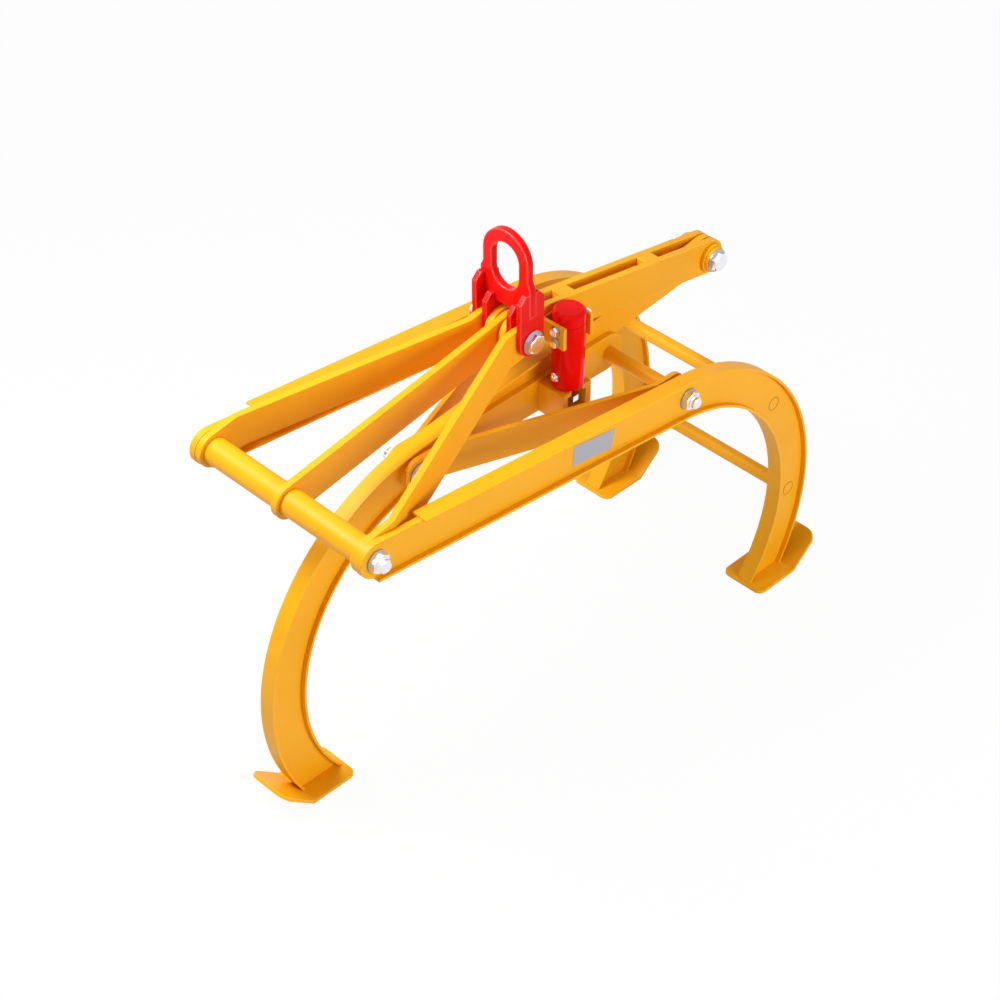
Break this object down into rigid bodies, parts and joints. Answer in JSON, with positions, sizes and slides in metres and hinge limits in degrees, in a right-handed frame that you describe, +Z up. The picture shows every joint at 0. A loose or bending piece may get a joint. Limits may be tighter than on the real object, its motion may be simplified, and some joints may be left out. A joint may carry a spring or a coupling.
{
  "type": "rock grapple",
  "caption": "Self-closing scissor grapple that grips stones between one inner and two outer curved claws when lifted by its eye.",
  "frame": {"origin": "on the ground, midway between the heels of the inner and the outer shoes; the top pin is 8 mm towards -X", "axes": "+Z up, +X towards the two outer claws' soles, Y along the pins, the latch is on the -Y side"},
  "size_m": [1.4941, 0.62, 1.157],
  "materials": {
    "yellow_paint": "semi-gloss yellow-orange paint",
    "red_paint": "semi-gloss red paint",
    "zinc_steel": "bright zinc plating"
  },
  "bodies": {
    "tie_frame": {"tie_near_plate": "yellow_paint", "tie_far_plate": "yellow_paint", "tie_near_splay": "yellow_paint", "tie_far_splay": "yellow_paint", "tie_near_sleeve": "yellow_paint", "tie_far_sleeve": "yellow_paint", "tie_end_spacers": "yellow_paint", "latch_box": "yellow_paint", "crook_pin_bolt": "zinc_steel", "crook_pin_washers": "zinc_steel", "crook_pin_nut": "zinc_steel"},
    "outer_arms": {"near_arm_web": "yellow_paint", "near_arm_top_flange": "yellow_paint", "near_arm_low_flange": "yellow_paint", "near_shoe": "yellow_paint", "far_arm_web": "yellow_paint", "far_arm_top_flange": "yellow_paint", "far_arm_low_flange": "yellow_paint", "far_shoe": "yellow_paint", "rear_cross_bar": "yellow_paint", "low_cross_bar": "yellow_paint", "long_bolt": "zinc_steel", "tie_rod": "zinc_steel", "frame_washers": "zinc_steel", "frame_nuts": "zinc_steel"},
    "inner_arm": {"inner_arm_web": "yellow_paint", "inner_arm_top_flange": "yellow_paint", "inner_arm_low_flange": "yellow_paint", "inner_shoe": "yellow_paint", "end_hub_rings": "yellow_paint"},
    "left_link": {"left_link_centre_bar": "yellow_paint", "left_link_near_bar": "yellow_paint", "left_link_far_bar": "yellow_paint", "near_spacer_tube": "yellow_paint", "far_spacer_tube": "yellow_paint", "spacer_rings": "yellow_paint", "top_hub_rings": "yellow_paint"},
    "right_link": {"right_link_near_plate": "yellow_paint", "right_link_far_plate": "yellow_paint", "right_link_battens": "yellow_paint", "end_discs": "yellow_paint", "end_pin_bolt": "zinc_steel", "end_pin_washers": "zinc_steel", "end_pin_nut": "zinc_steel", "latch_barrel": "red_paint", "latch_cap": "red_paint", "latch_bracket": "yellow_paint", "bracket_bolts": "zinc_steel"},
    "top_pin": {"top_pin_bolt": "zinc_steel", "top_pin_washers": "zinc_steel", "top_pin_nut": "zinc_steel"},
    "lifting_eye": {"eye_plate": "red_paint", "near_inner_lug": "red_paint", "far_inner_lug": "red_paint", "near_outer_lug": "red_paint", "far_outer_lug": "red_paint"},
    "latch_rod": {"latch_tee_rod": "zinc_steel"}
  },
  "joints": [
    {"name": "outer_arms_swing", "type": "hinge", "parent": "tie_frame", "child": "outer_arms", "pos_m": [0.28565, 0, 0.7043], "axis": [0, 1, 0], "range_deg": [0, 30]},
    {"name": "inner_arm_swing", "type": "hinge", "parent": "tie_frame", "child": "inner_arm", "pos_m": [-0.30155, 0, 0.7043], "axis": [0, -1, 0], "range_deg": [0, 30]},
    {"name": "left_link_fold", "type": "hinge", "parent": "outer_arms", "child": "left_link", "pos_m": [-0.62795, 0, 0.805], "axis": [0, -1, 0], "range_deg": [0, 64.5]},
    {"name": "right_link_fold", "type": "hinge", "parent": "inner_arm", "child": "right_link", "pos_m": [0.61205, 0, 0.805], "axis": [0, 1, 0], "range_deg": [0, 64.5]},
    {"name": "top_pin_turn", "type": "hinge", "parent": "left_link", "child": "top_pin", "pos_m": [-0.00795, 0, 0.911], "axis": [0, 1, 0], "range_deg": [0, 34.5]},
    {"name": "lifting_eye_tilt", "type": "hinge", "parent": "top_pin", "child": "lifting_eye", "pos_m": [-0.00795, 0, 0.911], "axis": [0, 1, 0], "range_deg": [-20, 20]},
    {"name": "latch_rod_turn", "type": "hinge", "parent": "right_link", "child": "latch_rod", "pos_m": [0.10505, -0.07, 0.792], "axis": [0, 0, 1], "range_deg": [0, 90]}
  ],
  "couplings": [
    {"joint": "inner_arm_swing", "follows": "outer_arms_swing", "ratio": 1},
    {"joint": "left_link_fold", "follows": "outer_arms_swing", "ratio": 2.1495},
    {"joint": "right_link_fold", "follows": "outer_arms_swing", "ratio": 2.1495},
    {"joint": "top_pin_turn", "follows": "outer_arms_swing", "ratio": 1.1495}
  ]
}
